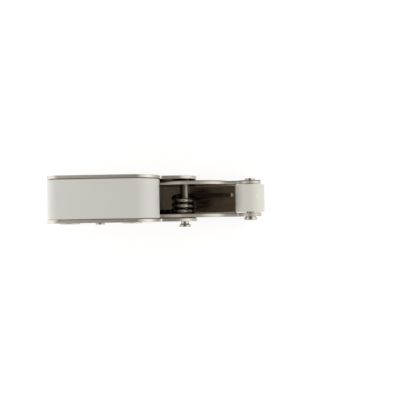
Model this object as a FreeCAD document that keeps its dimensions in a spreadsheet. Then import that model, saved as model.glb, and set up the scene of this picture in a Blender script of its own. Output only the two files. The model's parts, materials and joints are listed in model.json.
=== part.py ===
import FreeCAD, Part

import math
import os
import re

import Sketcher

# Touch latch: a folded case with a sprung, swinging roller arm and a push-push catch.
# Frame: +X towards the roller, +Y across the pins, +Z up out of the open side of the case.
# The origin lies on the underside of the case floor, mid-width, below the front fixing bore.
# All sizes are in millimetres.

DRIVING_SIZES = {
    # Case, folded from one sheet
    "sheet": 1.0,
    "bend": 0.8,
    "case_width": 15.0,
    "front_reach": 8.8,
    "rear_margin": 6.5,
    "corner_radius": 3.9,
    "shoulder_rise": 1.2,
    "ear_reach": 4.0,
    "ear_height": 4.0,
    "ear_round": 6.4,
    "ear_foot": 1.5,
    "ear_fillet": 1.0,
    "pivot_x": 16.8,
    "pivot_z": 6.6,
    # Clearances
    "running_fit": 0.05,
    "fixed_fit": 0.03,
    "stop_gap": 0.3,
    "hub_gap": 0.8,
    "cover_gap": 0.12,
    "arm_gap": 0.5,
    "roller_gap": 0.3,
    "cam_gap": 1.0,
    "cam_foot_gap": 0.6,
    "collar_gap": 0.3,
    # Fixing bores and their tubular rivets
    "bore_radius": 2.1,
    "bore_spacing": 20.0,
    "eyelet_wall": 0.4,
    "rim_width": 0.7,
    "rim_thick": 0.4,
    "spacer_wall": 0.65,
    # Moulded cover
    "cover_wall": 1.5,
    "cover_side": 1.2,
    "cover_edge": 0.5,
    "cover_foot": 0.3,
    "mouth_rise": 0.3,
    # Swinging arm, folded from one sheet
    "arm_sheet": 1.2,
    "arm_bend": 0.5,
    "arm_shift": 0.25,
    "bend_clear": 0.1,
    "relief": 0.8,
    "hump_height": 4.4,
    "hump_rear": 1.0,
    "hump_front": 4.4,
    "low_run": 2.95,
    "low_height": 1.4,
    "low_fillet": 1.2,
    "boss_radius": 3.6,
    "tail_end": 1.7,
    "tail_height": 3.0,
    "tail_drop": 1.2,
    "tail_clear": 1.0,
    "tail_under": 5.5,
    # Pivot pin
    "pin_radius": 1.5,
    "pin_groove": 0.15,
    "pin_neck": 0.7,
    "pin_flare": 0.6,
    "pin_head_radius": 1.95,
    "pin_head_thick": 0.55,
    "pin_head_crown": 0.2,
    # Roller and its pin
    "roller_reach": 21.9,
    "roller_radius": 4.8,
    "roller_chamfer": 0.3,
    "roller_shift": 0.05,
    "web_reach": 0.3,
    "axle_radius": 1.25,
    "axle_collar_radius": 1.75,
    "axle_collar_thick": 0.35,
    "axle_head_radius": 2.15,
    "axle_head_thick": 0.9,
    "axle_head_round": 0.35,
    "axle_tail_radius": 1.65,
    "axle_tail_thick": 0.7,
    # Torsion spring
    "wire": 1.45,
    "wire_rest": 0.05,
    "coil_play": 1.075,
    "coil_shift": 0.35,
    "coil_clear": 0.275,
    "coil_end_gap": 0.125,
    "turn_gap": 0.3,
    "leg_clear": 2.8,
    "leg_short": 1.15,
    "leg_climb": 1.8,
    # Cam and studs
    "hub_wall": 1.65,
    "cam_corner": 2.5,
    "track_depth": 1.0,
    "track_width": 7.2,
    "track_side": 0.4,
    "track_top": 0.3,
    "track_foot": 0.9,
    "track_rim": 1.0,
    "track_upper_corner": 1.4,
    "track_lower_corner": 2.4,
    "heart_shift": 0.55,
    "heart_drop": 1.4,
    "heart_lift": 2.0,
    "heart_notch": 0.5,
    "heart_half": 0.7,
    "heart_bulge": 2.0,
    "stud_x": 2.0,
    "stud_height": 0.5,
    "stud_radius": 1.0,
    "stud_shank": 0.8,
    "stud_collar": 1.4,
    "stud_end_gap": 0.3,
    # Catch spring and the post that carries it
    "post_x": 11.2,
    "post_z": 7.0,
    "post_radius": 1.2,
    "post_head_radius": 1.5,
    "post_head_thick": 0.6,
    "catch_wire": 0.6,
    "catch_play": 0.4,
    "catch_turn_gap": 0.35,
    "catch_leg_gap": 0.3,
    "catch_leg_z": 5.8,
    "catch_foot_gap": 0.7,
}

# Sizes that follow from the driving ones, so that the pieces stay seated on each other

WORKED_SIZES = {
    "eyelet_outer": "bore_radius + eyelet_wall",
    "sleeve_bore": "eyelet_outer + running_fit",
    "spacer_radius": "sleeve_bore + spacer_wall",
    "cam_hub": "sleeve_bore + hub_wall",
    "skirt_height": "pivot_z + tail_height + stop_gap",
    "bore_height": "skirt_height + spacer_radius",
    "case_height": "bore_height + cam_hub + hub_gap + cover_wall",
    "ear_top": "pivot_z + ear_height",
    "ear_end": "pivot_x + ear_reach",
    "shoulder_foot": "ear_top + shoulder_rise",
    "shoulder_radius": "case_height - shoulder_foot",
    "rear_reach": "bore_spacing + rear_margin",
    "half_case": "case_width / 2",
    "inner_case": "case_width - 2 * sheet",
    "through": "2 * case_width",
    "cover_width": "inner_case - 2 * cover_gap",
    "half_inner_cover": "cover_width / 2 - cover_side",
    "spacer_end": "half_inner_cover - running_fit",
    "half_arm": "inner_case / 2 - arm_gap",
    "half_inner_arm": "half_arm - arm_sheet",
    "coil_radius": "pin_radius + coil_play + wire / 2",
    "coil_low": "-half_inner_arm - arm_shift + wire / 2 + coil_end_gap",
    "coil_pitch": "wire + turn_gap",
    "web_top": "coil_radius + wire / 2 + coil_clear",
    "web_drop": "web_top + arm_sheet",
    "bend_line": "web_top - arm_bend - bend_clear",
    "low_drop": "bend_line - low_height",
    "roller_drop": "web_drop - boss_radius",
    "web_front": "roller_reach - roller_radius + web_reach",
    "low_start": "web_front - low_run",
    "hump_run": "low_start - hump_front",
    "hump_fall": "hump_height + low_drop",
    "hump_radius": "(hump_run ^ 2 + hump_fall ^ 2) / (2 * hump_fall)",
    "boss_foot": "sqrt(boss_radius ^ 2 - (low_drop - roller_drop) ^ 2)",
    "stud_reach": "pivot_x - stud_x",
    "tail_reach": "stud_reach + tail_end",
    "tail_start": "pivot_x - front_reach - tail_clear",
    "tail_round": "(tail_height + tail_drop) / 2",
    "half_roller": "half_inner_arm - roller_gap",
    "half_cam": "half_inner_arm - cam_gap",
    "cam_depth": "bore_height - sheet - cam_foot_gap",
    "track_right": "stud_x + stud_radius + track_side",
    "track_left": "track_right - track_width",
    "track_high": "bore_height - pivot_z - stud_height - stud_radius - track_top",
    "track_low": "cam_depth - track_foot",
    "cam_front": "track_right + track_rim",
    "cam_rear": "track_rim - track_left",
    "heart_x": "(track_left + track_right) / 2 - heart_shift",
    "heart_tip": "track_high + heart_drop",
    "heart_base": "track_low - heart_lift",
    "catch_coil": "post_radius + catch_play + catch_wire / 2",
    "catch_low": "-2 * (catch_wire + catch_turn_gap)",
    "catch_pitch": "catch_wire + catch_turn_gap",
}


def make_sheet(name):
    return doc.addObject("Spreadsheet::Sheet", name)


def worked(text):
    """Write aliases in an expression as cells of the two sheets."""
    return re.sub("[a-z_]+", lambda word: CELLS.get(word.group(), word.group()), text)


doc = FreeCAD.newDocument("touch_latch")
CELLS = {}
sizes = make_sheet("sizes")
for row, (alias, value) in enumerate(DRIVING_SIZES.items(), start=1):
    sizes.set("A%d" % row, alias)
    sizes.set("B%d" % row, str(value))
    sizes.setAlias("B%d" % row, alias)
    CELLS[alias] = "sizes." + alias
derived = make_sheet("derived")
for row, (alias, formula) in enumerate(WORKED_SIZES.items(), start=1):
    derived.set("A%d" % row, alias)
    derived.set("B%d" % row, "=" + worked(formula).replace("derived.", ""))
    derived.setAlias("B%d" % row, alias)
    CELLS[alias] = "derived." + alias
doc.recompute()


def number(text):
    """The value of an expression, in millimetres."""
    return float(sizes.evalExpression(worked(text)))


def bind(thing, target, text):
    thing.setExpression(target, worked(text))


def seat(thing, x="0", y="0", z="0"):
    """Place a node at a point worked out from the sheet."""
    bind(thing, "Placement.Base.x", x)
    bind(thing, "Placement.Base.y", y)
    bind(thing, "Placement.Base.z", z)


def make_body(name):
    body = doc.addObject("PartDesign::Body", name)
    body.Label = name
    return body


def make_sketch(body, name, role):
    sketch = body.newObject("Sketcher::SketchObject", name)
    plane = next(item for item in body.Origin.OriginFeatures if item.Role == role)
    sketch.AttachmentSupport = [(plane, "")]
    sketch.MapMode = "FlatFace"
    return sketch


def fix_point(sketch, item, vertex, x, y):
    """Hold a point of the sketch at expressions for its two coordinates."""
    for kind, text in (("DistanceX", x), ("DistanceY", y)):
        rule = sketch.addConstraint(Sketcher.Constraint(kind, -1, 1, item, vertex, number(text)))
        bind(sketch, "Constraints[%d]" % rule, text)


def draw_outline(sketch, corners):
    """Close a loop, anticlockwise. A corner is (x, y), or (x, y, radius) where an arc ends there."""
    points = [FreeCAD.Vector(number(corner[0]), number(corner[1]), 0) for corner in corners]
    for index, corner in enumerate(corners):
        begin = points[index - 1]
        finish = points[index]
        if len(corner) == 2:
            item = sketch.addGeometry(Part.LineSegment(begin, finish), False)
        else:
            radius = number(corner[2])
            chord = finish - begin
            rise = math.sqrt(max(radius ** 2 - chord.Length ** 2 / 4, 0))
            inward = FreeCAD.Vector(-chord.y, chord.x, 0).normalize()
            centre = (begin + finish) * 0.5 + inward * rise
            low = math.atan2(begin.y - centre.y, begin.x - centre.x)
            high = math.atan2(finish.y - centre.y, finish.x - centre.x)
            circle = Part.Circle(centre, FreeCAD.Vector(0, 0, 1), radius)
            item = sketch.addGeometry(Part.ArcOfCircle(circle, low, high), False)
            rule = sketch.addConstraint(Sketcher.Constraint("Radius", item, radius))
            bind(sketch, "Constraints[%d]" % rule, corner[2])
        fix_point(sketch, item, 2, corner[0], corner[1])
        if index == 0:
            first = item
        else:
            sketch.addConstraint(Sketcher.Constraint("Coincident", item - 1, 2, item, 1))
    sketch.addConstraint(Sketcher.Constraint("Coincident", item, 2, first, 1))


def draw_circle(sketch, x, y, radius):
    centre = FreeCAD.Vector(number(x), number(y), 0)
    circle = Part.Circle(centre, FreeCAD.Vector(0, 0, 1), number(radius))
    item = sketch.addGeometry(circle, False)
    fix_point(sketch, item, 3, x, y)
    rule = sketch.addConstraint(Sketcher.Constraint("Radius", item, number(radius)))
    bind(sketch, "Constraints[%d]" % rule, radius)


def pad_across(body, sketch, width):
    """A pad of the given width, half to each side of the sketch."""
    pad = body.newObject("PartDesign::Pad", sketch.Name + "_pad")
    pad.Profile = sketch
    pad.Midplane = True
    bind(pad, "Length", width)
    doc.recompute()
    return pad


def cut_across(body, sketch, width):
    """A pocket of the given width, half to each side of the sketch."""
    before = body.Shape.Volume
    pocket = body.newObject("PartDesign::Pocket", sketch.Name + "_cut")
    pocket.Profile = sketch
    pocket.Midplane = True
    bind(pocket, "Length", width)
    doc.recompute()
    if body.Shape.Volume >= before:
        raise RuntimeError("the cut of " + sketch.Name + " removes nothing")
    return pocket


def turn(name, corners):
    """A piece turned about its own Y axis. Each corner is (radius, y)."""
    body = make_body(name)
    sketch = make_sketch(body, name + "_section", "XY_Plane")
    draw_outline(sketch, corners)
    turned = body.newObject("PartDesign::Revolution", name + "_turned")
    turned.Profile = sketch
    turned.ReferenceAxis = (sketch, ["V_Axis"])
    turned.Angle = 360
    doc.recompute()
    return body


def tube(name, inner, outer, low, high):
    return turn(name, [(inner, low), (outer, low), (outer, high), (inner, high)])


def pick_edges(shape, test):
    """Names of the straight edges whose middle point and direction pass the test."""
    names = []
    for index, edge in enumerate(shape.Edges, start=1):
        if edge.Curve.TypeId != "Part::GeomLine":
            continue
        middle = edge.valueAt((edge.FirstParameter + edge.LastParameter) / 2)
        along = edge.tangentAt(edge.FirstParameter)
        if test(middle, along):
            names.append("Edge%d" % index)
    return names


def round_edges(body, name, radius, test):
    """Fillet the straight edges that pass the test."""
    names = pick_edges(body.Shape, test)
    if not names:
        raise RuntimeError("no edge found for " + name)
    base = body.Tip
    fillet = body.newObject("PartDesign::Fillet", name)
    fillet.Base = (base, names)
    bind(fillet, "Radius", radius)
    doc.recompute()
    return fillet


def near(value, text):
    return abs(value - number(text)) < 0.01


def wire_spring(start, end, turns, radius, wire, low, pitch, last_climb):
    """Round wire: a straight leg from start, a coil about the Y axis, and a leg to end.

    Start and end are (x, z) from the coil's axis. Seen along +Y with Z up, the wire runs
    anticlockwise from y = low, and its legs are tangent to the coil. It starts flat, then each
    half turn climbs half a pitch in a tilted plane, and the last one climbs by last_climb.
    """
    def spoke(angle, y):
        return FreeCAD.Vector(radius * math.cos(angle), y, radius * math.sin(angle))

    def lean(point):
        return math.acos(radius / math.hypot(*point))

    def arc(begin, finish, y, climb):
        middle = spoke((begin + finish) / 2, y + climb / 2)
        return Part.Arc(spoke(begin, y), middle, spoke(finish, y + climb)).toShape()

    enter = math.atan2(start[1], start[0]) + lean(start)
    leave = math.atan2(end[1], end[0]) - lean(end)
    sweep = (leave - enter) % (2 * math.pi) + 2 * math.pi * turns
    climbs = [pitch / 2] * (2 * turns) + [last_climb]
    angle = leave - len(climbs) * math.pi
    first = FreeCAD.Vector(start[0], low, start[1])
    edges = [Part.makeLine(first, spoke(enter, low)), arc(leave - sweep, angle, low, 0)]
    y = low
    for climb in climbs:
        edges.append(arc(angle, angle + math.pi, y, climb))
        angle += math.pi
        y += climb
    edges.append(Part.makeLine(spoke(leave, y), FreeCAD.Vector(end[0], y, end[1])))
    section = Part.Wire([Part.makeCircle(wire / 2, first, spoke(enter, low) - first)])
    return Part.Wire(edges).makePipe(Part.Face(section))


def case_top():
    """The outline that the case's walls and the cover share, from the front to the rear."""
    return [
        ("front_reach", "shoulder_foot"),
        ("front_reach - shoulder_radius", "case_height", "shoulder_radius"),
        ("-rear_reach + corner_radius", "case_height"),
        ("-rear_reach", "case_height - corner_radius", "corner_radius"),
    ]


# Case: one sheet folded to a U, with two ears that carry the arm

def make_case():
    body = make_body("case")
    side = make_sketch(body, "case_side", "XZ_Plane")
    draw_outline(side, [
        ("-rear_reach", "0"),
        ("ear_end - ear_foot", "0"),
        ("ear_end", "ear_foot"),
        ("ear_end", "ear_top - ear_round"),
        ("ear_end - ear_round", "ear_top", "ear_round"),
        ("front_reach", "ear_top"),
    ] + case_top())
    pad_across(body, side, "case_width")
    round_edges(body, "ear_corner", "ear_fillet",
                lambda p, t: abs(t.y) > 0.9 and near(p.x, "front_reach")
                and near(p.z, "ear_top"))
    channel = make_sketch(body, "case_channel", "XZ_Plane")
    draw_outline(channel, [
        ("-rear_reach - sheet", "sheet"),
        ("ear_end + sheet", "sheet"),
        ("ear_end + sheet", "case_height + sheet"),
        ("-rear_reach - sheet", "case_height + sheet"),
    ])
    cut_across(body, channel, "inner_case")
    holes = make_sketch(body, "case_holes", "XZ_Plane")
    rivet_hole = "eyelet_outer + fixed_fit"
    draw_circle(holes, "0", "bore_height", rivet_hole)
    draw_circle(holes, "-bore_spacing", "bore_height", rivet_hole)
    draw_circle(holes, "pivot_x", "pivot_z", "pin_radius + fixed_fit")
    draw_circle(holes, "-post_x", "post_z", "post_radius + fixed_fit")
    cut_across(body, holes, "through")
    round_edges(body, "case_bend_outer", "sheet + bend",
                lambda p, t: abs(t.x) > 0.9 and near(p.z, "0") and near(abs(p.y), "half_case"))
    round_edges(body, "case_bend_inner", "bend",
                lambda p, t: abs(t.x) > 0.9 and near(p.z, "sheet")
                and near(abs(p.y), "inner_case / 2"))
    return body


# Cover: a moulded shell between the walls, flush with their edges, open below

def make_cover():
    body = make_body("cover")
    side = make_sketch(body, "cover_side_view", "XZ_Plane")
    draw_outline(side, [
        ("-rear_reach", "sheet + cover_foot"),
        ("-rear_reach + cover_wall", "sheet + cover_foot"),
        ("-rear_reach + cover_wall", "skirt_height"),
        ("front_reach", "skirt_height"),
    ] + case_top())
    pad_across(body, side, "cover_width")
    hollow = make_sketch(body, "cover_hollow", "XZ_Plane")
    draw_outline(hollow, [
        ("-rear_reach + cover_wall", "skirt_height - cover_wall"),
        ("front_reach - cover_wall", "skirt_height - cover_wall"),
        ("front_reach - cover_wall", "shoulder_foot"),
        ("front_reach - shoulder_radius", "case_height - cover_wall", "shoulder_radius - cover_wall"),
        ("-rear_reach + corner_radius", "case_height - cover_wall"),
        ("-rear_reach + cover_wall", "case_height - corner_radius", "corner_radius - cover_wall"),
    ])
    cut_across(body, hollow, "2 * half_inner_cover")
    mouth = make_sketch(body, "cover_mouth", "XZ_Plane")
    draw_outline(mouth, [
        ("front_reach - 2 * cover_wall", "skirt_height - cover_wall"),
        ("front_reach + cover_wall", "skirt_height - cover_wall"),
        ("front_reach + cover_wall", "shoulder_foot + mouth_rise"),
        ("front_reach - 2 * cover_wall", "shoulder_foot + mouth_rise"),
    ])
    cut_across(body, mouth, "2 * half_inner_cover")
    holes = make_sketch(body, "cover_holes", "XZ_Plane")
    draw_circle(holes, "0", "bore_height", "sleeve_bore")
    draw_circle(holes, "-bore_spacing", "bore_height", "sleeve_bore")
    cut_across(body, holes, "through")
    round_edges(body, "cover_rim", "cover_edge",
                lambda p, t: abs(t.x) > 0.9 and near(p.z, "case_height")
                and near(abs(p.y), "cover_width / 2"))
    return body


# Arm: one sheet folded to a U, open towards +Z, drawn about its pivot

def make_arm():
    body = make_body("swing_arm")
    side = make_sketch(body, "arm_side", "XZ_Plane")
    draw_outline(side, [
        ("0", "-web_drop"),
        ("roller_reach", "-web_drop"),
        ("roller_reach + boss_radius", "-roller_drop", "boss_radius"),
        ("roller_reach", "-roller_drop + boss_radius", "boss_radius"),
        ("roller_reach - boss_foot", "-low_drop", "boss_radius"),
        ("low_start", "-low_drop"),
        ("hump_front", "hump_height", "hump_radius"),
        ("-hump_rear", "hump_height"),
        ("-tail_start", "tail_height"),
        ("-tail_reach + tail_round", "tail_height"),
        ("-tail_reach", "(tail_height - tail_drop) / 2", "tail_round"),
        ("-tail_reach + tail_round", "-tail_drop", "tail_round"),
        ("-tail_under", "-tail_drop"),
        ("0", "-bend_line"),
    ])
    pad_across(body, side, "2 * half_arm")
    round_edges(body, "arm_low_corner", "low_fillet",
                lambda p, t: abs(t.y) > 0.9 and near(p.x, "roller_reach - boss_foot")
                and near(p.z, "-low_drop"))
    beyond = "tail_reach + roller_reach"
    channel = make_sketch(body, "arm_channel", "XZ_Plane")
    draw_outline(channel, [
        ("-(" + beyond + ")", "-web_drop - arm_sheet"),
        ("0", "-web_drop - arm_sheet"),
        ("0", "-web_top"),
        ("web_front", "-web_top"),
        ("web_front", "-web_drop - arm_sheet"),
        (beyond, "-web_drop - arm_sheet"),
        (beyond, "hump_height + arm_sheet"),
        ("-(" + beyond + ")", "hump_height + arm_sheet"),
    ])
    cut_across(body, channel, "2 * half_inner_arm")
    notches = make_sketch(body, "arm_relief", "XZ_Plane")
    draw_outline(notches, [
        ("web_front", "-web_drop - arm_sheet"),
        ("web_front + relief", "-web_drop - arm_sheet"),
        ("web_front + relief", "-bend_line"),
        ("web_front", "-bend_line"),
    ])
    cut_across(body, notches, "through")
    holes = make_sketch(body, "arm_holes", "XZ_Plane")
    draw_circle(holes, "0", "0", "pin_radius + running_fit")
    draw_circle(holes, "roller_reach", "-roller_drop", "axle_radius + fixed_fit")
    draw_circle(holes, "-stud_reach", "stud_height", "stud_shank + fixed_fit")
    cut_across(body, holes, "through")
    round_edges(body, "arm_bend_outer", "arm_sheet + arm_bend",
                lambda p, t: abs(t.x) > 0.9 and near(p.z, "-web_drop")
                and near(abs(p.y), "half_arm") and p.x < number("web_front"))
    round_edges(body, "arm_bend_inner", "arm_bend",
                lambda p, t: abs(t.x) > 0.9 and near(p.z, "-web_top")
                and near(abs(p.y), "half_inner_arm"))
    seat(body, "pivot_x", "-arm_shift", "pivot_z")
    return body


# Pins and rivets

def make_pivot_pin():
    neck = "-half_case - pin_neck"
    head_in = neck + " - pin_flare"
    head_out = head_in + " - pin_head_thick"
    pin = turn("pivot_pin", [
        ("0", head_out),
        ("pin_head_radius - pin_head_crown", head_out),
        ("pin_head_radius", head_out + " + pin_head_crown", "pin_head_crown"),
        ("pin_head_radius", head_in),
        ("pin_radius - pin_groove", neck),
        ("pin_radius - pin_groove", "-half_case"),
        ("pin_radius", "-half_case"),
        ("pin_radius", "half_case"),
        ("0", "half_case"),
    ])
    seat(pin, "pivot_x", "0", "pivot_z")


def make_eyelet(name, x):
    plate = "-half_case"
    eyelet = turn(name, [
        ("bore_radius", plate + " - rim_thick"),
        ("eyelet_outer + rim_width - rim_thick / 2", plate + " - rim_thick"),
        ("eyelet_outer + rim_width", plate + " - rim_thick / 2"),
        ("eyelet_outer + rim_width", plate),
        ("eyelet_outer", plate),
        ("eyelet_outer", "half_case"),
        ("bore_radius", "half_case"),
    ])
    seat(eyelet, x, "0", "bore_height")


def make_spacer(name, x, low, high):
    spacer = tube(name, "sleeve_bore", "spacer_radius", low, high)
    seat(spacer, x, "0", "bore_height")


def make_roller_pin():
    """A riveted axle: a collar and a round-edged head at -Y, a small flat head at +Y."""
    collar = "-half_arm - axle_collar_thick"
    head_out = collar + " - axle_head_thick"
    pin = turn("roller_pin", [
        ("0", head_out),
        ("axle_head_radius - axle_head_round", head_out),
        ("axle_head_radius", head_out + " + axle_head_round", "axle_head_round"),
        ("axle_head_radius", collar),
        ("axle_collar_radius", collar),
        ("axle_collar_radius", "-half_arm"),
        ("axle_radius", "-half_arm"),
        ("axle_radius", "half_arm"),
        ("axle_tail_radius", "half_arm"),
        ("axle_tail_radius", "half_arm + axle_tail_thick"),
        ("0", "half_arm + axle_tail_thick"),
    ])
    seat(pin, "pivot_x + roller_reach", "-arm_shift", "pivot_z - roller_drop")


def make_roller():
    bore = "axle_radius + running_fit"
    face = "roller_radius - roller_chamfer"
    roller = turn("roller", [
        (bore, "-half_roller"),
        (face, "-half_roller"),
        ("roller_radius", "-half_roller + roller_chamfer"),
        ("roller_radius", "half_roller - roller_chamfer"),
        (face, "half_roller"),
        (bore, "half_roller"),
    ])
    seat(roller, "pivot_x + roller_reach", "roller_shift - arm_shift", "pivot_z - roller_drop")


def make_stud(name, side):
    """A stepped stud riveted flush in one tail flange, its end in the cam's groove."""
    collar_in = "half_inner_arm - cam_gap + collar_gap"
    tip = "half_cam - track_depth + stud_end_gap"
    steps = [("0", tip), ("stud_radius", tip), ("stud_radius", collar_in), ("stud_collar", collar_in),
             ("stud_collar", "half_inner_arm"), ("stud_shank", "half_inner_arm"), ("stud_shank", "half_arm"),
             ("0", "half_arm")]
    if side < 0:
        steps = [(radius, "-(" + y + ")") for radius, y in reversed(steps)]
    stud = turn(name, steps)
    seat(stud, "pivot_x - stud_reach", "-arm_shift", "pivot_z + stud_height")


def make_spring_post():
    plate = "-half_case"
    post = turn("spring_post", [
        ("0", plate + " - post_head_thick"),
        ("post_head_radius", plate + " - post_head_thick"),
        ("post_head_radius", plate),
        ("post_radius", plate),
        ("post_radius", "half_case"),
        ("0", "half_case"),
    ])
    seat(post, "-post_x", "0", "post_z")


# Cam: a rocker hung on the front rivet, with a heart-shaped track in each face

def make_cam():
    body = make_body("heart_cam")
    plate = [
        ("cam_hub", "0"),
        ("0", "cam_hub", "cam_hub"),
        ("-cam_hub", "0", "cam_hub"),
        ("-cam_rear", "-cam_depth + cam_corner"),
        ("-cam_rear + cam_corner", "-cam_depth", "cam_corner"),
        ("cam_front - cam_corner", "-cam_depth"),
        ("cam_front", "-cam_depth + cam_corner", "cam_corner"),
    ]
    groove = [
        ("track_left + track_lower_corner", "-track_low", "track_lower_corner"),
        ("track_right - track_lower_corner", "-track_low"),
        ("track_right", "-track_low + track_lower_corner", "track_lower_corner"),
        ("track_right", "-track_high - track_upper_corner"),
        ("track_right - track_upper_corner", "-track_high", "track_upper_corner"),
        ("track_left + track_upper_corner", "-track_high"),
        ("track_left", "-track_high - track_upper_corner", "track_upper_corner"),
        ("track_left", "-track_low + track_lower_corner"),
    ]
    heart = [
        ("heart_x", "-heart_tip", "heart_bulge"),
        ("heart_x - heart_half", "-heart_base", "heart_bulge"),
        ("heart_x", "-heart_base + heart_notch"),
        ("heart_x + heart_half", "-heart_base"),
    ]
    layers = (
        ("cam_core", [plate], "2 * half_cam - 2 * track_depth"),
        ("cam_track", [plate, groove, heart], "2 * half_cam"),
    )
    for name, loops, width in layers:
        sketch = make_sketch(body, name, "XZ_Plane")
        for loop in loops:
            draw_outline(sketch, loop)
        draw_circle(sketch, "0", "0", "sleeve_bore")
        pad_across(body, sketch, width)
    seat(body, "0", "-arm_shift", "bore_height")


# Springs of round wire

def make_wire_node(name, shape, x, y, z):
    spring = doc.addObject("Part::Feature", name)
    spring.Label = name
    spring.Shape = shape
    seat(spring, x, y, z)


def make_torsion_spring():
    """Wound on the pivot pin: one leg on the case floor, the other on the arm's web."""
    floor_leg = (number("cam_front + leg_clear - pivot_x + coil_shift"),
                 number("sheet + wire / 2 + wire_rest - pivot_z"))
    web_leg = (number("web_front - leg_short + coil_shift"), number("wire / 2 + wire_rest - web_top"))
    shape = wire_spring(floor_leg, web_leg, 2, number("coil_radius"), number("wire"),
                        number("coil_low"), number("coil_pitch"), number("leg_climb"))
    make_wire_node("torsion_spring", shape, "pivot_x - coil_shift", "0", "pivot_z")


def make_catch_spring():
    """Wound on its post: one leg behind the cam, the other on the case floor."""
    slope = "(cam_rear - cam_hub) / (cam_depth - cam_corner)"
    cam_back = "-cam_hub - (bore_height - catch_leg_z) * " + slope
    cam_leg = (number(cam_back + " - catch_leg_gap + post_x"), number("catch_leg_z - post_z"))
    floor_leg = (number("post_x - cam_rear - catch_foot_gap"),
                 number("sheet + catch_wire / 2 + wire_rest - post_z"))
    shape = wire_spring(cam_leg, floor_leg, 4, number("catch_coil"), number("catch_wire"),
                        number("catch_low"), number("catch_pitch"), number("catch_pitch / 2"))
    make_wire_node("catch_spring", shape, "-post_x", "-arm_shift", "post_z")


make_case()
make_cover()
make_arm()
make_pivot_pin()
make_eyelet("front_eyelet", "0")
make_eyelet("rear_eyelet", "-bore_spacing")
make_spacer("front_spacer_left", "0", "-spacer_end", "-half_cam - arm_shift - running_fit")
make_spacer("front_spacer_right", "0", "half_cam - arm_shift + running_fit", "spacer_end")
make_spacer("rear_spacer", "-bore_spacing", "-spacer_end", "spacer_end")
make_roller()
make_roller_pin()
make_stud("catch_stud_left", -1)
make_stud("catch_stud_right", 1)
make_cam()
make_spring_post()
make_torsion_spring()
make_catch_spring()
doc.recompute()

failed = [thing.Label for thing in doc.Objects if {"Invalid", "Error"} & set(thing.State)]
nodes = [thing for thing in doc.Objects if thing.TypeId in ("PartDesign::Body", "Part::Feature")]
for node in nodes:
    if node.Shape.isNull() or not node.Shape.isValid() or len(node.Shape.Solids) != 1:
        failed.append(node.Label)
if failed:
    raise RuntimeError("not built: " + ", ".join(failed))

os.makedirs("parts", exist_ok=True)
for node in nodes:
    node.Shape.exportStep("parts/" + node.Label + ".step")
    print(node.Label, round(node.Shape.Volume, 2), "mm3")
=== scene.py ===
import json
import math

import bpy
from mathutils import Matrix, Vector


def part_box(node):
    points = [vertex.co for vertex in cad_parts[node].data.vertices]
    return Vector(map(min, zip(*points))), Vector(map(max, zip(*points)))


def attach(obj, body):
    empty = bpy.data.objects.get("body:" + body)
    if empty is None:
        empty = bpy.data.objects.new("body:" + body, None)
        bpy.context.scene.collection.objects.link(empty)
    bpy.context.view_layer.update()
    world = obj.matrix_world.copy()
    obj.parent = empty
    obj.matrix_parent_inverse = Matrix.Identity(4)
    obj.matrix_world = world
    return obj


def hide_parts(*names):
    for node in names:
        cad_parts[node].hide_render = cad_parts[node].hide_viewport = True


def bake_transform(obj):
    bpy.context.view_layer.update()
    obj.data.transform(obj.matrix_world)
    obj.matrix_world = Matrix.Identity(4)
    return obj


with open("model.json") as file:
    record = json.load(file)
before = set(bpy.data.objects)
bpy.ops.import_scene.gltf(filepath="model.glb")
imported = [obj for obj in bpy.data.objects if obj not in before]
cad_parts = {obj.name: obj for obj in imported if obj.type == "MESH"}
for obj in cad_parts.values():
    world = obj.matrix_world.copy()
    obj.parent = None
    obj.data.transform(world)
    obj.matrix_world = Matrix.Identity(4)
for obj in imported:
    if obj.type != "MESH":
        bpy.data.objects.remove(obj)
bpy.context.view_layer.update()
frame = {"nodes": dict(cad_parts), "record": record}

# All lengths and places are in metres, in the model's own frame: +X to the roller, +Y across the
# pins, +Z to the camera. Only the camera's lens and sensor are in millimetres.

# Camera, fitted to the photo
CAMERA_PLACE = (0.02175, -0.00693, 0.21498)
CAMERA_TURN = (0.030645, -0.000188, -0.017899)
CAMERA_LENS = 56.56
CAMERA_SENSOR = 36.0
CAMERA_CLIP = (0.01, 10.0)

# White tent: its level, what both ends of the object add, and what leans it to the roller's side
TENT_LEVEL = 0.84
TENT_ENDS = 0.87
TENT_LEAN = 0.30
TENT_REAR = (1.0, 1.0, 1.0)
TENT_FRONT = (1.0, 0.98, 0.945)

# Bright card beyond the rear end, a little weaker at its top
CARD_X = -0.056
CARD_HEIGHT = 0.07
CARD_WIDTH = 0.10
CARD_LIGHT = 1.8
CARD_TOP_SHARE = 0.85

# Dark shade round the lens, which is what level metal mirrors. It is full to SHADE_DARK from its
# middle and gone at SHADE_CLEAR.
SHADE_PLACE = (0.0175, -0.00693, 0.23)
SHADE_STRETCH = (1.0, 3.0, 1.0)
SHADE_DARK = 0.055
SHADE_CLEAR = 0.105
SHADE_TONE = (0.085, 0.068, 0.050)

# Lens in the shade, as its picture lies on the arm's web: radius, share of the shade's tone
LENS_PLACE = (0.0222, 0.0070, 0.229)
LENS_RINGS = (
    (0.0055, 0.00),
    (0.0085, 0.25),
    (0.0110, 1.00),
    (0.0145, 0.45),
    (0.0170, 1.00),
)
DISC_SIDES = 64

# Floor: its own white, and the plain glow that the camera and mirrors see mixed into it
FLOOR_Z = -0.0002
FLOOR_SIZE = 20.0
FLOOR_TONES = ((0.82, 0.82, 0.82), (0.80, 0.80, 0.80))
FLOOR_PATCH = (3.0, 3.0, 3.0)
FLOOR_ROUGHNESS = 0.9
FLOOR_GLOW = 1.28
FLOOR_GLOW_SHARE = 0.58

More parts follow.
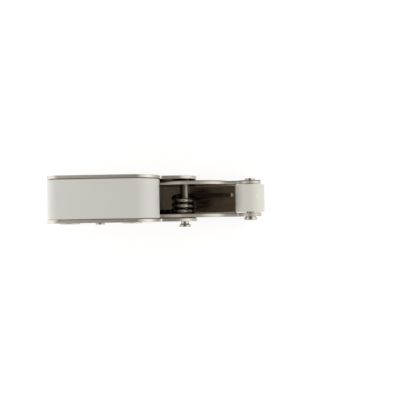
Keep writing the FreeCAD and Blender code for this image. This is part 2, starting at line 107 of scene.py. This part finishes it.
# Colours, linear. Two tones are mixed by noise.
CASE_TONES = ((0.60, 0.57, 0.52), (0.52, 0.495, 0.45))
# Painted shade along the rims of the case's cut edges
CASE_RIM_SHADE = (0.50, 0.465, 0.41)
ARM_TONES = ((0.66, 0.59, 0.50), (0.42, 0.375, 0.315))
# Painted shade along the rims of the arm's cut edges
ARM_RIM_SHADE = (0.16, 0.145, 0.12)
SHEARED_TONES = ((0.63, 0.585, 0.52), (0.49, 0.455, 0.40))
EYELET_TONES = ((0.76, 0.725, 0.67), (0.66, 0.63, 0.58))
PIN_TONES = ((0.50, 0.47, 0.425), (0.42, 0.395, 0.355))
# Painted highlight along the pivot pin's top between the ears
PIN_TOP_HIGHLIGHT_TONES = ((0.26, 0.235, 0.20), (0.20, 0.18, 0.15))
# Dark tone of the painted shade on the pivot pin and by the ear on the arm's +Y rim
PAINTED_SHADE_TONE = (0.035, 0.030, 0.024)
WIRE_TONES = ((0.07, 0.062, 0.050), (0.045, 0.04, 0.032))
WIRE_SHEEN = (0.45, 0.42, 0.36)
# Painted highlights on the spring: along the coil's top and at the web leg's cut end
WIRE_HIGHLIGHT_TONES = ((0.56, 0.50, 0.415), (0.38, 0.34, 0.28))
COVER_TONES = ((0.63, 0.63, 0.595), (0.61, 0.61, 0.575))
ROLLER_TONES = ((0.69, 0.68, 0.62), (0.67, 0.66, 0.60))
GATE_TONE = (0.80, 0.74, 0.60)
GATE_STRENGTH = 0.9
CAM_TONES = ((0.80, 0.78, 0.70), (0.75, 0.73, 0.66))
PLASTIC_IOR = 1.49

# Noise, as its scale per metre along X, Y and Z
ROLLED_GRAIN = (250.0, 1400.0, 1400.0)
TORN_GRAIN = (2600.0, 400.0, 2600.0)
PLATE_PATCH = (120.0, 600.0, 600.0)
TURNED_GRAIN = (900.0, 4200.0, 900.0)
TURNED_PATCH = (420.0, 420.0, 420.0)
DRAWN_GRAIN = (1500.0, 5200.0, 1500.0)
WIRE_PATCH = (600.0, 600.0, 600.0)
MOULD_GRAIN = (3600.0, 3600.0, 3600.0)
MOULD_PATCH = (140.0, 140.0, 140.0)
NOISE_ROUGHNESS = 0.55
NOISE_SPAN = (0.3, 0.7)

# Roughness, as limits or as what noise takes from and adds to a middle value
FACE_SPREAD = (-0.03, 0.05)
TORN_SPREAD = (-0.06, 0.08)
TURNED_SPREAD = (-0.04, 0.06)
MOULD_SPREAD = (-0.04, 0.05)
# Roughness of the pivot pin between the ears, where shade is painted on it, and of the pins elsewhere
PIN_SHADE_ROUGHNESS = (0.34, 0.44)
UNSHADED_PIN_ROUGHNESS = (0.16, 0.26)
WIRE_ROUGHNESS = (0.12, 0.20)
# Roughness where the spring's highlights are painted
WIRE_HIGHLIGHT_ROUGHNESS = 0.32

# Surface relief
METAL_RELIEF = 0.00002
BEVEL_SAMPLES = 4
ROLLED_RELIEF_SHARE = 0.15

# Walls of the case and of the arm. Their faces lie at INNER and OUTER from a middle plane in Y.
# A cut edge is what lies outside INNER less SHEARED_MARGIN and faces sideways by less than
# SHEARED_FACING.
CASE_INNER = 0.0065
CASE_OUTER = 0.0075
CASE_EARS = 0.0071
ARM_INNER = 0.00475
ARM_OUTER = 0.00595
ARM_MIDDLE = -0.00025
EDGE_MIDDLE = -0.00035
RIM_WIDTH = 0.00028
SHEARED_MARGIN = 0.0001
SHEARED_FACING = 0.3

# Painted shade on the pivot pin and by the ear on the arm's +Y rim, and where highlights are painted
PIN_SHADE_TO_X = 0.03
EAR_GAP_SHADE_REACH = (0.0089, 0.0192)
EAR_GAP_SHADE_WIDTH = 0.00055
HIGHLIGHT_DEPTH = 0.00026
HIGHLIGHT_FULL_SHARE = 0.15
PIN_LEAN = 0.3
COIL_LEAN = 0.08
END_HIGHLIGHT_LENGTH = 0.0007

# Torsion spring. A leg ends at a place in X and Z.
PIVOT_X = 0.0168
PIN_RADIUS = 0.0015
COIL_X = 0.01645
COIL_Z = 0.0066
COIL_RADIUS = 0.0033
COIL_LOW = -0.0042
HALF_TURNS = (0.000875, 0.000875, 0.000875, 0.000875, 0.0018)
WIRE_RADIUS = 0.000725
FLOOR_LEG = (0.0072, 0.001775)
WEB_LEG = (0.03305, 0.003075)
WIRE_SIDES = 24
WIRE_CHAMFER = 0.00015
FLOOR_LEG_STEPS = 12
FLAT_STEPS = 6
HALF_TURN_STEPS = 24
WEB_LEG_STEPS = 24

# Roller. Each end has a shallow ring between the hub and the rim.
ROLLER_AXIS = (0.0387, 0.0047)
ROLLER_RADIUS = 0.004795
ROLLER_EDGE = 0.0003
ROLLER_EDGE_STEPS = 8
ROLLER_SIDES = 96
AXLE_BORE = 0.0013
RING_DEPTH = 0.00012
RING_SLOPE = 0.0001
HUB_WIDTH = 0.0006
RIM_BAND = 0.0010
GATE_PLACE = (0.0406, 0.0002, 0.0091)
GATE_RADIUS = 0.0009

# Numbers of a Mix node's two inputs and of its output, for each kind of data
MIX_SOCKETS = {"FLOAT": (2, 3, 0), "RGBA": (6, 7, 2)}


# Node helpers

def feed(tree, socket, value):
    """Links an output to the socket, or sets the socket's own value. A colour comes without alpha."""
    if isinstance(value, bpy.types.NodeSocket):
        tree.links.new(value, socket)
    elif socket.type == "RGBA":
        socket.default_value = (*value, 1.0)
    else:
        socket.default_value = value


def add(tree, kind, settings=(), inputs=()):
    """A node with its settings, and its inputs by name or number."""
    item = tree.nodes.new(kind)
    for name, value in dict(settings).items():
        setattr(item, name, value)
    for name, value in dict(inputs).items():
        feed(tree, item.inputs[name], value)
    return item


def calculate(tree, operation, first, second=0.0):
    return add(tree, "ShaderNodeMath", {"operation": operation}, {0: first, 1: second}).outputs[0]


def spread(tree, value, start, stop, low=0.0, high=1.0, kind="LINEAR"):
    """A number that goes from low to high as value goes from start to stop."""
    return add(tree, "ShaderNodeMapRange", {"interpolation_type": kind},
               {"Value": value, "From Min": start, "From Max": stop,
                "To Min": low, "To Max": high}).outputs["Result"]


def blend(tree, data_type, amount, first, second):
    a, b, result = MIX_SOCKETS[data_type]
    return add(tree, "ShaderNodeMix", {"data_type": data_type},
               {0: amount, a: first, b: second}).outputs[result]


def blend_colour(tree, amount, first, second):
    return blend(tree, "RGBA", amount, first, second)


def blend_number(tree, amount, first, second):
    return blend(tree, "FLOAT", amount, first, second)


def blend_shader(tree, amount, first, second):
    return add(tree, "ShaderNodeMixShader", (), {0: amount, 1: first, 2: second}).outputs[0]


def coordinates(tree, kind="Object"):
    """X, Y and Z of the shaded point in the model's frame, or of another texture coordinate."""
    place = add(tree, "ShaderNodeTexCoord").outputs[kind]
    return add(tree, "ShaderNodeSeparateXYZ", (), {0: place}).outputs


def distance(tree, spot):
    """How far the shaded point is from a spot in the piece's own coordinates."""
    place = add(tree, "ShaderNodeTexCoord").outputs["Object"]
    return add(tree, "ShaderNodeVectorMath", {"operation": "DISTANCE"},
               {0: place, 1: spot}).outputs["Value"]


def noise(tree, stretch, detail=3.0):
    """Noise over the piece's own coordinates. stretch is the scale along X, Y and Z, per metre."""
    place = add(tree, "ShaderNodeTexCoord").outputs["Object"]
    mapped = add(tree, "ShaderNodeMapping", (), {"Vector": place, "Scale": stretch})
    return add(tree, "ShaderNodeTexNoise", (),
               {"Vector": mapped.outputs["Vector"], "Scale": 1.0, "Detail": detail,
                "Roughness": NOISE_ROUGHNESS}).outputs["Fac"]


def between(tree, cloud, low, high):
    """A number from low to high over the span that noise mostly takes up."""
    return spread(tree, cloud, *NOISE_SPAN, low, high)


def around(tree, cloud, middle, limits):
    """A number that noise moves round a middle value, between two limits given as differences."""
    return between(tree, cloud, middle + limits[0], middle + limits[1])


def painted_top_highlight(tree, middle, radius, lean):
    """1 along the top of a pin or coil, where a highlight is painted, and 0 from the highlight depth
    under it. lean moves it to +X.
    """
    x, _, z = coordinates(tree)
    aside = calculate(tree, "MULTIPLY", calculate(tree, "SUBTRACT", x, middle[0]), lean)
    height = calculate(tree, "ADD", z, aside)
    top = middle[1] + radius * math.hypot(1.0, lean)
    return spread(tree, height, top - HIGHLIGHT_DEPTH, top - HIGHLIGHT_FULL_SHARE * HIGHLIGHT_DEPTH,
                  kind="SMOOTHSTEP")


def sheared_edge(tree, centre, inner, outer):
    """Two numbers: 1 on the cut edges of a folded plate's walls, and 1 along their rims, which the
    plate paints darker as painted shade.
    """
    side = calculate(tree, "ABSOLUTE", coordinates(tree, "Normal")[1])
    out = calculate(tree, "ABSOLUTE", calculate(tree, "SUBTRACT", coordinates(tree)[1], centre))
    edge = calculate(tree, "MULTIPLY",
                     calculate(tree, "GREATER_THAN", out, inner - SHEARED_MARGIN),
                     calculate(tree, "LESS_THAN", side, SHEARED_FACING))
    from_middle = calculate(tree, "ABSOLUTE",
                            calculate(tree, "SUBTRACT", out, (inner + outer) / 2))
    half = (outer - inner) / 2
    return edge, spread(tree, from_middle, half - RIM_WIDTH, half, kind="SMOOTHSTEP")


def start_material(name, metallic):
    material = bpy.data.materials.new(name)
    material.use_nodes = True
    tree = material.node_tree
    shader = tree.nodes["Principled BSDF"]
    shader.inputs["Metallic"].default_value = metallic
    return material, tree, shader


def start_glow(name):
    """A material without a shader yet: the material, its tree and the socket that takes the light."""
    material = bpy.data.materials.new(name)
    material.use_nodes = True
    tree = material.node_tree
    tree.nodes.remove(tree.nodes["Principled BSDF"])
    return material, tree, tree.nodes["Material Output"].inputs["Surface"]


def finish_surface(tree, shader, colour, roughness, height, strength, edge, depth=METAL_RELIEF):
    """Colour, roughness, and relief of the given strength and depth over softly broken edges."""
    bevel = add(tree, "ShaderNodeBevel", {"samples": BEVEL_SAMPLES}, {"Radius": edge})
    bump = add(tree, "ShaderNodeBump", (), {"Strength": strength, "Distance": depth,
                                            "Height": height, "Normal": bevel.outputs["Normal"]})
    feed(tree, shader.inputs["Base Color"], colour)
    feed(tree, shader.inputs["Roughness"], roughness)
    feed(tree, shader.inputs["Normal"], bump.outputs["Normal"])


def paint_over(material, amount, colour):
    """Lays a colour over the material's own where amount says."""
    tree = material.node_tree
    socket = tree.nodes["Principled BSDF"].inputs["Base Color"]
    own = socket.links[0].from_socket
    feed(tree, socket, blend_colour(tree, amount, own, colour))


# Materials

def plate(name, tones, rim_shade_tone, smooth, rough, metal, centre, inner, outer):
    """Folded plate: plated faces with a faint rolling grain, and cut edges with a coarse, dull grain.

    The walls' faces lie at inner and outer from centre. The cut edges are painted darker along their
    rims: painted shade where the rims round over.
    """
    material, tree, shader = start_material(name, 1.0)
    edge, rim = sheared_edge(tree, centre, inner, outer)
    rolled = noise(tree, ROLLED_GRAIN, detail=4.0)
    torn = noise(tree, TORN_GRAIN, detail=4.0)
    face_colour = blend_colour(tree, noise(tree, PLATE_PATCH), *tones)
    # The rims of the cut edges get painted shade
    edge_colour = blend_colour(tree, rim, blend_colour(tree, torn, *SHEARED_TONES), rim_shade_tone)
    if metal < 1.0:
        feed(tree, shader.inputs["Metallic"], blend_number(tree, edge, 1.0, metal))
    colour = blend_colour(tree, edge, face_colour, edge_colour)
    roughness = blend_number(tree, edge, around(tree, rolled, smooth, FACE_SPREAD),
                             around(tree, torn, rough, TORN_SPREAD))
    height = blend_number(tree, edge, calculate(tree, "MULTIPLY", rolled, ROLLED_RELIEF_SHARE), torn)
    finish_surface(tree, shader, colour, roughness, height, strength=0.3, edge=0.0002)
    return material


def case_plate():
    return plate("case_plate", CASE_TONES, CASE_RIM_SHADE, smooth=0.13, rough=0.41, metal=1.0,
                 centre=0.0, inner=CASE_INNER, outer=CASE_OUTER)


def arm_plate():
    """The arm's plate, with painted shade on the +Y wall's rim where it turns inside the case's ear,
    for the dark gap between them.
    """
    material = plate("arm_plate", ARM_TONES, ARM_RIM_SHADE, smooth=0.07, rough=0.44, metal=0.7,
                     centre=EDGE_MIDDLE, inner=ARM_INNER, outer=ARM_OUTER)
    tree = material.node_tree
    x, y, _ = coordinates(tree)
    # Painted shade: a dark band on the +Y wall's outer rim, widest at the rear, for the gap under the
    # ear
    width = spread(tree, x, *EAR_GAP_SHADE_REACH, EAR_GAP_SHADE_WIDTH, -RIM_WIDTH)
    ear_gap_shade = calculate(tree, "GREATER_THAN", calculate(tree, "ADD", y, width),
                        ARM_MIDDLE + ARM_OUTER)
    paint_over(material, ear_gap_shade, PAINTED_SHADE_TONE)
    return material


def turned_noise(tree):
    """The fine rings of a turned surface, and the small blotches in its plating."""
    return noise(tree, TURNED_GRAIN), noise(tree, TURNED_PATCH, detail=2.0)


def turned_metal(name, tones, roughness, metal, edge):
    """Metal with fine rings and blotches. A lower metal is a duller plating."""
    material, tree, shader = start_material(name, metal)
    grain, patch = turned_noise(tree)
    finish_surface(tree, shader, blend_colour(tree, patch, *tones),
                   around(tree, grain, roughness, TURNED_SPREAD), grain, strength=0.12, edge=edge)
    return material


def pin_steel():
    """Turned pins. The pivot pin is painted dark between the ears as painted shade, darkest in the
    gaps by the arm's walls, with a painted highlight along its top.
    """
    material, tree, shader = start_material("pin_steel", 1.0)
    grain, patch = turned_noise(tree)
    x, y, _ = coordinates(tree)
    out = calculate(tree, "ABSOLUTE", calculate(tree, "SUBTRACT", y, ARM_MIDDLE))
    # Painted shade on the pivot pin between the ears, darkest by the arm's walls, with a painted
    # highlight along its top
    unshaded_pin = calculate(tree, "MAXIMUM", calculate(tree, "GREATER_THAN", out, CASE_EARS),
                      calculate(tree, "GREATER_THAN", x, PIN_SHADE_TO_X))
    arm_gap_shade = calculate(tree, "GREATER_THAN", out, ARM_OUTER - RIM_WIDTH)
    top_highlight = painted_top_highlight(tree, (PIVOT_X, COIL_Z), PIN_RADIUS, PIN_LEAN)
    pin_shade = blend_colour(tree, top_highlight, PAINTED_SHADE_TONE, blend_colour(tree, patch, *PIN_TOP_HIGHLIGHT_TONES))
    pin_shade = blend_colour(tree, arm_gap_shade, pin_shade, PAINTED_SHADE_TONE)
    colour = blend_colour(tree, unshaded_pin, pin_shade, blend_colour(tree, patch, *PIN_TONES))
    roughness = blend_number(tree, unshaded_pin, between(tree, grain, *PIN_SHADE_ROUGHNESS),
                             between(tree, grain, *UNSHADED_PIN_ROUGHNESS))
    finish_surface(tree, shader, colour, roughness, grain, strength=0.12, edge=0.00014)
    return material


def eyelet_plate():
    return turned_metal("eyelet_plate", EYELET_TONES, roughness=0.40, metal=0.8, edge=0.0001)


def spacer_steel():
    return turned_metal("spacer_steel", PIN_TONES, roughness=0.32, metal=1.0, edge=0.00006)


def spring_wire():
    """Drawn wire: dark, with faint die lines, and painted highlights along the top of the coil and at
    the web leg's cut end.
    """
    material, tree, shader = start_material("spring_wire", 1.0)
    lines = noise(tree, DRAWN_GRAIN)
    patch = noise(tree, WIRE_PATCH, detail=2.0)
    # Painted highlights along the coil's top and at the web leg's cut end
    top_highlight = painted_top_highlight(tree, (COIL_X, COIL_Z), COIL_RADIUS + WIRE_RADIUS, COIL_LEAN)
    end_highlight = calculate(tree, "GREATER_THAN", coordinates(tree)[0], WEB_LEG[0] - END_HIGHLIGHT_LENGTH)
    bright = calculate(tree, "MAXIMUM", top_highlight, end_highlight)
    colour = blend_colour(tree, bright, blend_colour(tree, patch, *WIRE_TONES),
                          blend_colour(tree, patch, *WIRE_HIGHLIGHT_TONES))
    roughness = blend_number(tree, bright, between(tree, patch, *WIRE_ROUGHNESS),
                             WIRE_HIGHLIGHT_ROUGHNESS)
    feed(tree, shader.inputs["Specular Tint"], WIRE_SHEEN)
    finish_surface(tree, shader, colour, roughness, lines, strength=0.10, edge=0.00005)
    return material


def moulding(name, tones, roughness, depth):
    """Moulded plastic: a fine even texture with slow changes of tone and sheen."""
    material, tree, shader = start_material(name, 0.0)
    grain = noise(tree, MOULD_GRAIN, detail=2.0)
    slow = noise(tree, MOULD_PATCH, detail=2.0)
    shader.inputs["IOR"].default_value = PLASTIC_IOR
    finish_surface(tree, shader, blend_colour(tree, slow, *tones),
                   around(tree, slow, roughness, MOULD_SPREAD), grain,
                   strength=0.25, edge=0.0001, depth=depth)
    return material


def cover_moulding():
    return moulding("cover_moulding", COVER_TONES, roughness=0.33, depth=0.00001)


def roller_plastic():
    """The roller's plastic, with the small round mark of its gate."""
    material = moulding("roller_plastic", ROLLER_TONES, roughness=0.34, depth=0.000004)
    tree = material.node_tree
    mark = spread(tree, distance(tree, GATE_PLACE), GATE_RADIUS, 0.0, high=GATE_STRENGTH,
                  kind="SMOOTHSTEP")
    paint_over(material, mark, GATE_TONE)
    return material


def cam_plastic():
    return moulding("cam_plastic", CAM_TONES, roughness=0.5, depth=0.00001)


# Pieces

def mesh_piece(name, points, faces, material):
    mesh = bpy.data.meshes.new(name)
    mesh.from_pydata([tuple(point) for point in points], [], faces)
    mesh.validate()
    mesh.shade_smooth()
    piece = bpy.data.objects.new(name, mesh)
    bpy.context.scene.collection.objects.link(piece)
    piece.data.materials.append(material)
    return piece


def circle(centre, across, other, radius, sides):
    """Points round centre, in the plane of two unit vectors."""
    turns = (2 * math.pi * side / sides for side in range(sides))
    return [centre + (across * math.cos(turn) + other * math.sin(turn)) * radius for turn in turns]


def bridge(rings, sides, closed=False):
    """Faces between neighbouring rings of points. closed joins the last ring to the first too."""
    faces = []
    for ring in range(rings if closed else rings - 1):
        here = ring * sides
        after = (ring + 1) % rings * sides
        for side in range(sides):
            step = (side + 1) % sides
            faces.append((here + side, here + step, after + step, after + side))
    return faces


def spring_path():
    """Centre line of the torsion spring, from the floor leg's end to the web leg's end."""
    def spoke(angle, y):
        return Vector((COIL_X + COIL_RADIUS * math.cos(angle), y,
                       COIL_Z + COIL_RADIUS * math.sin(angle)))

    def from_coil(point):
        return point[0] - COIL_X, point[1] - COIL_Z

    def tangent_angle(point):
        """Angle at the coil's axis between a leg's end and where that leg meets the coil."""
        return math.acos(COIL_RADIUS / math.hypot(*point))

    start = from_coil(FLOOR_LEG)
    end = from_coil(WEB_LEG)
    enter = math.atan2(start[1], start[0]) + tangent_angle(start)
    leave = math.atan2(end[1], end[0]) - tangent_angle(end)
    turns = len(HALF_TURNS) // 2
    sweep = (leave - enter) % (2 * math.pi) + 2 * math.pi * turns
    flat = sweep - math.pi * len(HALF_TURNS)
    first = Vector((FLOOR_LEG[0], COIL_LOW, FLOOR_LEG[1]))
    points = [first.lerp(spoke(enter, COIL_LOW), step / FLOOR_LEG_STEPS)
              for step in range(FLOOR_LEG_STEPS)]
    points += [spoke(enter + flat * step / FLAT_STEPS, COIL_LOW) for step in range(FLAT_STEPS)]
    y = COIL_LOW
    angle = enter + flat
    for climb in HALF_TURNS:
        for step in range(HALF_TURN_STEPS):
            part = math.pi * step / HALF_TURN_STEPS
            points.append(spoke(angle + part, y + climb * (1 - math.cos(part)) / 2))
        angle += math.pi
        y += climb
    last = Vector((WEB_LEG[0], y, WEB_LEG[1]))
    points += [spoke(leave, y).lerp(last, step / WEB_LEG_STEPS)
               for step in range(WEB_LEG_STEPS + 1)]
    return points


def torsion_spring(material):
    """The spring's wire, as a tube along the spring's centre line, in place of the CAD spring."""
    path = spring_path()
    rings = []
    for index, point in enumerate(path):
        ahead = path[min(index + 1, len(path) - 1)]
        along = (ahead - path[max(index - 1, 0)]).normalized()
        across = (Vector((0, 1, 0)) - along * along.y).normalized()
        rings.append((point, along, across, WIRE_RADIUS))
    first, last = rings[0], rings[-1]
    tip = WIRE_RADIUS - WIRE_CHAMFER
    rings.insert(0, (first[0] - first[1] * WIRE_CHAMFER, *first[1:3], tip))
    rings.append((last[0] + last[1] * WIRE_CHAMFER, *last[1:3], tip))
    points = []
    for centre, along, across, radius in rings:
        points += circle(centre, across, along.cross(across), radius, WIRE_SIDES)
    faces = bridge(len(rings), WIRE_SIDES)
    faces.append(tuple(range(WIRE_SIDES)))
    faces.append(tuple(reversed(range(len(points) - WIRE_SIDES, len(points)))))
    faces = [tuple(reversed(face)) for face in faces]
    piece = mesh_piece("torsion_wire", points, faces, material)
    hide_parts("torsion_spring")
    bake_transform(piece)


def roller_profile(low, high):
    """Radius and Y from the hub at low to the hub at high, with rounded rims."""
    profile = [
        (AXLE_BORE, low),
        (AXLE_BORE + HUB_WIDTH, low),
        (AXLE_BORE + HUB_WIDTH + RING_SLOPE, low + RING_DEPTH),
        (ROLLER_RADIUS - RIM_BAND - RING_SLOPE, low + RING_DEPTH),
        (ROLLER_RADIUS - RIM_BAND, low),
    ]
    for step in range(ROLLER_EDGE_STEPS + 1):
        angle = math.pi / 2 * step / ROLLER_EDGE_STEPS
        profile.append((ROLLER_RADIUS - ROLLER_EDGE + ROLLER_EDGE * math.sin(angle),
                        low + ROLLER_EDGE - ROLLER_EDGE * math.cos(angle)))
    return profile + [(radius, low + high - y) for radius, y in reversed(profile)]


def roller(material):
    """The roller with softly rounded rims and a shallow ring in each end."""
    low, high = (corner[1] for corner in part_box("roller"))
    profile = roller_profile(low, high)
    points = []
    for radius, y in profile:
        middle = Vector((ROLLER_AXIS[0], y, ROLLER_AXIS[1]))
        points += circle(middle, Vector((1, 0, 0)), Vector((0, 0, 1)), radius, ROLLER_SIDES)
    faces = bridge(len(profile), ROLLER_SIDES, closed=True)
    piece = mesh_piece("roller_body", points, faces, material)
    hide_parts("roller")
    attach(piece, "roller")


# Setting

def world_light():
    """A white tent, brighter towards the object's two ends."""
    world = bpy.data.worlds.new("tent")
    bpy.context.scene.world = world
    world.use_nodes = True
    tree = world.node_tree
    along = coordinates(tree, "Generated")[0]
    ends = calculate(tree, "MULTIPLY", calculate(tree, "MULTIPLY", along, along), TENT_ENDS)
    lean = calculate(tree, "MULTIPLY", along, TENT_LEAN)
    level = calculate(tree, "ADD", calculate(tree, "ADD", ends, lean), TENT_LEVEL)
    sky = tree.nodes["Background"].inputs
    feed(tree, sky["Strength"], level)
    feed(tree, sky["Color"],
         blend_colour(tree, spread(tree, along, -1.0, 1.0), TENT_REAR, TENT_FRONT))


def hidden_stage(name, points, material):
    """A stage piece of one face that the camera doesn't see."""
    piece = mesh_piece(name, points, [tuple(range(len(points)))], material)
    piece.visible_camera = False
    return piece


def hidden_disc(name, reach, material):
    points = circle(Vector((0, 0, 0)), Vector((1, 0, 0)), Vector((0, 1, 0)), reach, DISC_SIDES)
    return hidden_stage(name, points, material)


def lens_shade():
    """The dark shade round the lens. It fades out at its rim."""
    material, tree, surface = start_glow("lens_shade")
    rim = spread(tree, distance(tree, (0, 0, 0)), SHADE_DARK, SHADE_CLEAR, kind="SMOOTHSTEP")
    cloth = add(tree, "ShaderNodeEmission", (), {"Color": SHADE_TONE}).outputs[0]
    clear = add(tree, "ShaderNodeBsdfTransparent").outputs[0]
    feed(tree, surface, blend_shader(tree, rim, cloth, clear))
    disc = hidden_disc("lens_shade", SHADE_CLEAR, material)
    disc.location = SHADE_PLACE
    disc.scale = SHADE_STRETCH


def lens():
    """The rings of the lens in the shade."""
    material, tree, surface = start_glow("lens")
    reach = LENS_RINGS[-1][0]
    share = calculate(tree, "DIVIDE", distance(tree, (0, 0, 0)), reach)
    ramp = add(tree, "ShaderNodeValToRGB", (), {"Fac": share})
    stops = ramp.color_ramp.elements
    while len(stops) < len(LENS_RINGS):
        stops.new(0.5)
    for stop, (radius, tone_share) in zip(stops, LENS_RINGS):
        stop.position = radius / reach
        stop.color = (*[tone_share * part for part in SHADE_TONE], 1.0)
    glass = add(tree, "ShaderNodeEmission", (), {"Color": ramp.outputs["Color"]})
    feed(tree, surface, glass.outputs[0])
    disc = hidden_disc("lens", reach, material)
    disc.location = LENS_PLACE


def end_card():
    """A bright card that stands beyond the case's rear end, outside the picture."""
    material, tree, surface = start_glow("end_card")
    light = spread(tree, coordinates(tree)[2], CARD_HEIGHT, 0.0,
                   CARD_TOP_SHARE * CARD_LIGHT, CARD_LIGHT)
    feed(tree, surface, add(tree, "ShaderNodeEmission", (), {"Strength": light}).outputs[0])
    half = CARD_WIDTH / 2
    hidden_stage("end_card", [(CARD_X, -half, 0.0), (CARD_X, half, 0.0),
                              (CARD_X, half, CARD_HEIGHT), (CARD_X, -half, CARD_HEIGHT)], material)


def floor():
    """A plain white floor that shows bright to the camera and keeps the object's shadow."""
    material, tree, shader = start_material("floor_white", 0.0)
    tone = noise(tree, FLOOR_PATCH, detail=1.0)
    feed(tree, shader.inputs["Base Color"], blend_colour(tree, tone, *FLOOR_TONES))
    shader.inputs["Roughness"].default_value = FLOOR_ROUGHNESS
    shader.inputs["Specular IOR Level"].default_value = 0.0
    rays = add(tree, "ShaderNodeLightPath").outputs
    seen = calculate(tree, "MAXIMUM", rays["Is Camera Ray"], rays["Is Glossy Ray"])
    seen = calculate(tree, "MAXIMUM", seen, rays["Is Transmission Ray"])
    glow = add(tree, "ShaderNodeEmission", (), {"Strength": FLOOR_GLOW}).outputs[0]
    share = calculate(tree, "MULTIPLY", seen, FLOOR_GLOW_SHARE)
    feed(tree, tree.nodes["Material Output"].inputs["Surface"],
         blend_shader(tree, share, shader.outputs[0], glow))
    half = FLOOR_SIZE / 2
    points = [(-half, -half, FLOOR_Z), (half, -half, FLOOR_Z),
              (half, half, FLOOR_Z), (-half, half, FLOOR_Z)]
    piece = mesh_piece("floor", points, [(0, 1, 2, 3)], material)


def camera():
    data = bpy.data.cameras.new("camera")
    data.lens = CAMERA_LENS
    data.sensor_width = CAMERA_SENSOR
    data.clip_start, data.clip_end = CAMERA_CLIP
    view = bpy.data.objects.new("camera", data)
    view.location = CAMERA_PLACE
    view.rotation_euler = CAMERA_TURN
    bpy.context.scene.collection.objects.link(view)
    bpy.context.scene.camera = view


MAKERS = (case_plate, arm_plate, pin_steel, eyelet_plate, spacer_steel, spring_wire,
          cover_moulding, roller_plastic, cam_plastic)
materials = {maker.__name__: maker() for maker in MAKERS}

for part in frame["record"]["subparts"]:
    node = frame["nodes"][part["node"]]
    node.data.materials.clear()
    node.data.materials.append(materials[part["material_slot"]])

torsion_spring(materials["spring_wire"])
roller(materials["roller_plastic"])
world_light()
lens_shade()
lens()
end_card()
floor()
camera()
bpy.context.scene.view_settings.view_transform = "Standard"
